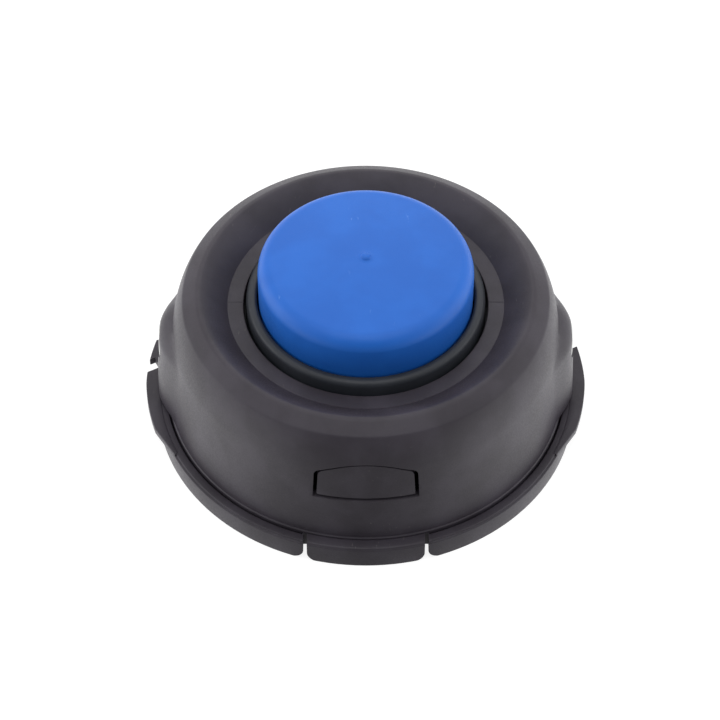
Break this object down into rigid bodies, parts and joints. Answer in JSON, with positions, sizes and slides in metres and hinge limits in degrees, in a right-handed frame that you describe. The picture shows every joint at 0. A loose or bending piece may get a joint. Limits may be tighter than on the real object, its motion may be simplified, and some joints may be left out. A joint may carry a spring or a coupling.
{
  "type": "trimmer head",
  "caption": "Tap-feed trimmer head: black moulded cover and housing held by latches, line outlets in side pods, and a round blue tap button on a ball bearing in the spool.",
  "frame": {"origin": "centre of the bounding box at the rim's lower edge, on the axis of rotation", "axes": "+Z along the axis of rotation from the drive side to the tap button; -X and +X through the line outlets; -Y and +Y through the latches"},
  "size_m": [0.1292, 0.1228, 0.0617],
  "materials": {
    "black_nylon": "moulded, fine grain",
    "blue_nylon": "moulded, satin",
    "zinc_steel": "zinc plated",
    "spring_steel": "drawn, oiled",
    "bearing_steel": "ground",
    "cage_brass": "pressed",
    "seal_rubber": "matt"
  },
  "bodies": {
    "head": {"housing": "black_nylon", "threaded_insert": "zinc_steel", "eyelet_left": "zinc_steel", "eyelet_right": "zinc_steel", "cover": "black_nylon"},
    "tap_carriage": {"spring": "spring_steel", "thrust_washer": "zinc_steel"},
    "spool_rotor": {"spool": "black_nylon", "bearing_outer_race": "bearing_steel", "bearing_circlip": "spring_steel", "bearing_seal_lower": "seal_rubber", "bearing_seal_upper": "seal_rubber"},
    "button_rotor": {"tap_button": "blue_nylon", "bearing_inner_race": "bearing_steel", "button_clip": "spring_steel"},
    "cage_rotor": {"bearing_cage": "cage_brass", "bearing_ball_1": "bearing_steel", "bearing_ball_2": "bearing_steel", "bearing_ball_3": "bearing_steel", "bearing_ball_4": "bearing_steel", "bearing_ball_5": "bearing_steel", "bearing_ball_6": "bearing_steel", "bearing_ball_7": "bearing_steel", "bearing_ball_8": "bearing_steel"}
  },
  "joints": [
    {"name": "tap_travel", "type": "slide", "parent": "head", "child": "tap_carriage", "axis": [0, 0, -1], "range_m": [0, 0.006], "stiffness_N_per_m": 1500, "springref_m": -0.01, "deforming": ["spring"]},
    {"name": "spool_spin", "type": "hinge", "parent": "tap_carriage", "child": "spool_rotor", "pos_m": [0, 0, 0.02625], "axis": [0, 0, 1], "continuous": true},
    {"name": "button_spin", "type": "hinge", "parent": "spool_rotor", "child": "button_rotor", "pos_m": [0, 0, 0.0406], "axis": [0, 0, 1], "continuous": true},
    {"name": "cage_spin", "type": "hinge", "parent": "spool_rotor", "child": "cage_rotor", "pos_m": [0, 0, 0.0406], "axis": [0, 0, 1], "continuous": true}
  ],
  "couplings": [
    {"joint": "cage_spin", "follows": "button_spin", "ratio": 0.385}
  ]
}
